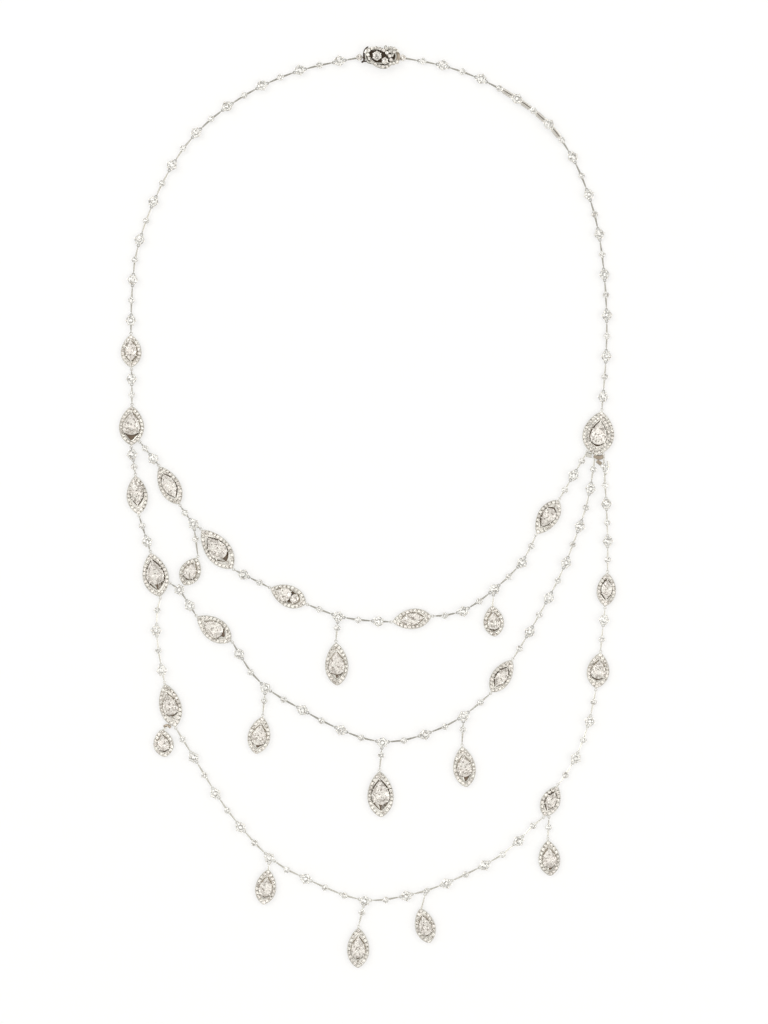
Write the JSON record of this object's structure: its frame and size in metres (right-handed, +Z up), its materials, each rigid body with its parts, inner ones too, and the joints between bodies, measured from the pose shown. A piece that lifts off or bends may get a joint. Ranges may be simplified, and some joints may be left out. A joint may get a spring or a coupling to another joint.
{
  "type": "diamond swag necklace",
  "caption": "Three-tier swag necklace of linked round diamonds with leaf-shaped halo clusters, pear drops and a box clasp, laid flat.",
  "frame": {"origin": "middle of the laid-out necklace's plan, on the surface that it lies on", "axes": "+Y from the lowest drop up to the clasp, +X to the right as the picture shows it, +Z up off the surface"},
  "size_m": [0.1341, 0.2483, 0.003],
  "materials": {
    "white_gold": "polished",
    "diamond": "faceted"
  },
  "bodies": {
    "root": {"clasp_box": "white_gold", "clasp_tongue": "white_gold", "clasp_stones": "diamond", "back_chain_left": "white_gold", "back_chain_right": "white_gold", "upper_chain": "white_gold", "middle_chain": "white_gold", "lower_chain": "white_gold", "side_leaf_frame": "white_gold", "left_plaque_frame": "white_gold", "right_plaque_frame": "white_gold", "upper_leaf_1_frame": "white_gold", "upper_leaf_2_frame": "white_gold", "upper_leaf_3_frame": "white_gold", "upper_leaf_4_frame": "white_gold", "upper_leaf_5_frame": "white_gold", "middle_leaf_1_frame": "white_gold", "middle_leaf_2_frame": "white_gold", "middle_leaf_3_frame": "white_gold", "middle_leaf_4_frame": "white_gold", "lower_leaf_1_frame": "white_gold", "lower_leaf_2_frame": "white_gold", "lower_leaf_3_frame": "white_gold", "lower_leaf_4_frame": "white_gold", "upper_drop_1_frame": "white_gold", "upper_drop_2_frame": "white_gold", "upper_drop_3_frame": "white_gold", "middle_drop_1_frame": "white_gold", "middle_drop_2_frame": "white_gold", "middle_drop_3_frame": "white_gold", "lower_drop_1_frame": "white_gold", "lower_drop_2_frame": "white_gold", "lower_drop_3_frame": "white_gold", "lower_drop_4_frame": "white_gold", "lower_drop_5_frame": "white_gold", "left_plaque_stone": "diamond", "right_plaque_stone": "diamond", "upper_drop_1_stone": "diamond", "upper_drop_2_stone": "diamond", "upper_drop_3_stone": "diamond", "middle_drop_1_stone": "diamond", "middle_drop_2_stone": "diamond", "middle_drop_3_stone": "diamond", "lower_drop_1_stone": "diamond", "lower_drop_2_stone": "diamond", "lower_drop_3_stone": "diamond", "lower_drop_4_stone": "diamond", "lower_drop_5_stone": "diamond", "side_leaf_stone": "diamond", "upper_leaf_stones": "diamond", "middle_leaf_stones": "diamond", "lower_leaf_stones": "diamond"}
  },
  "joints": []
}
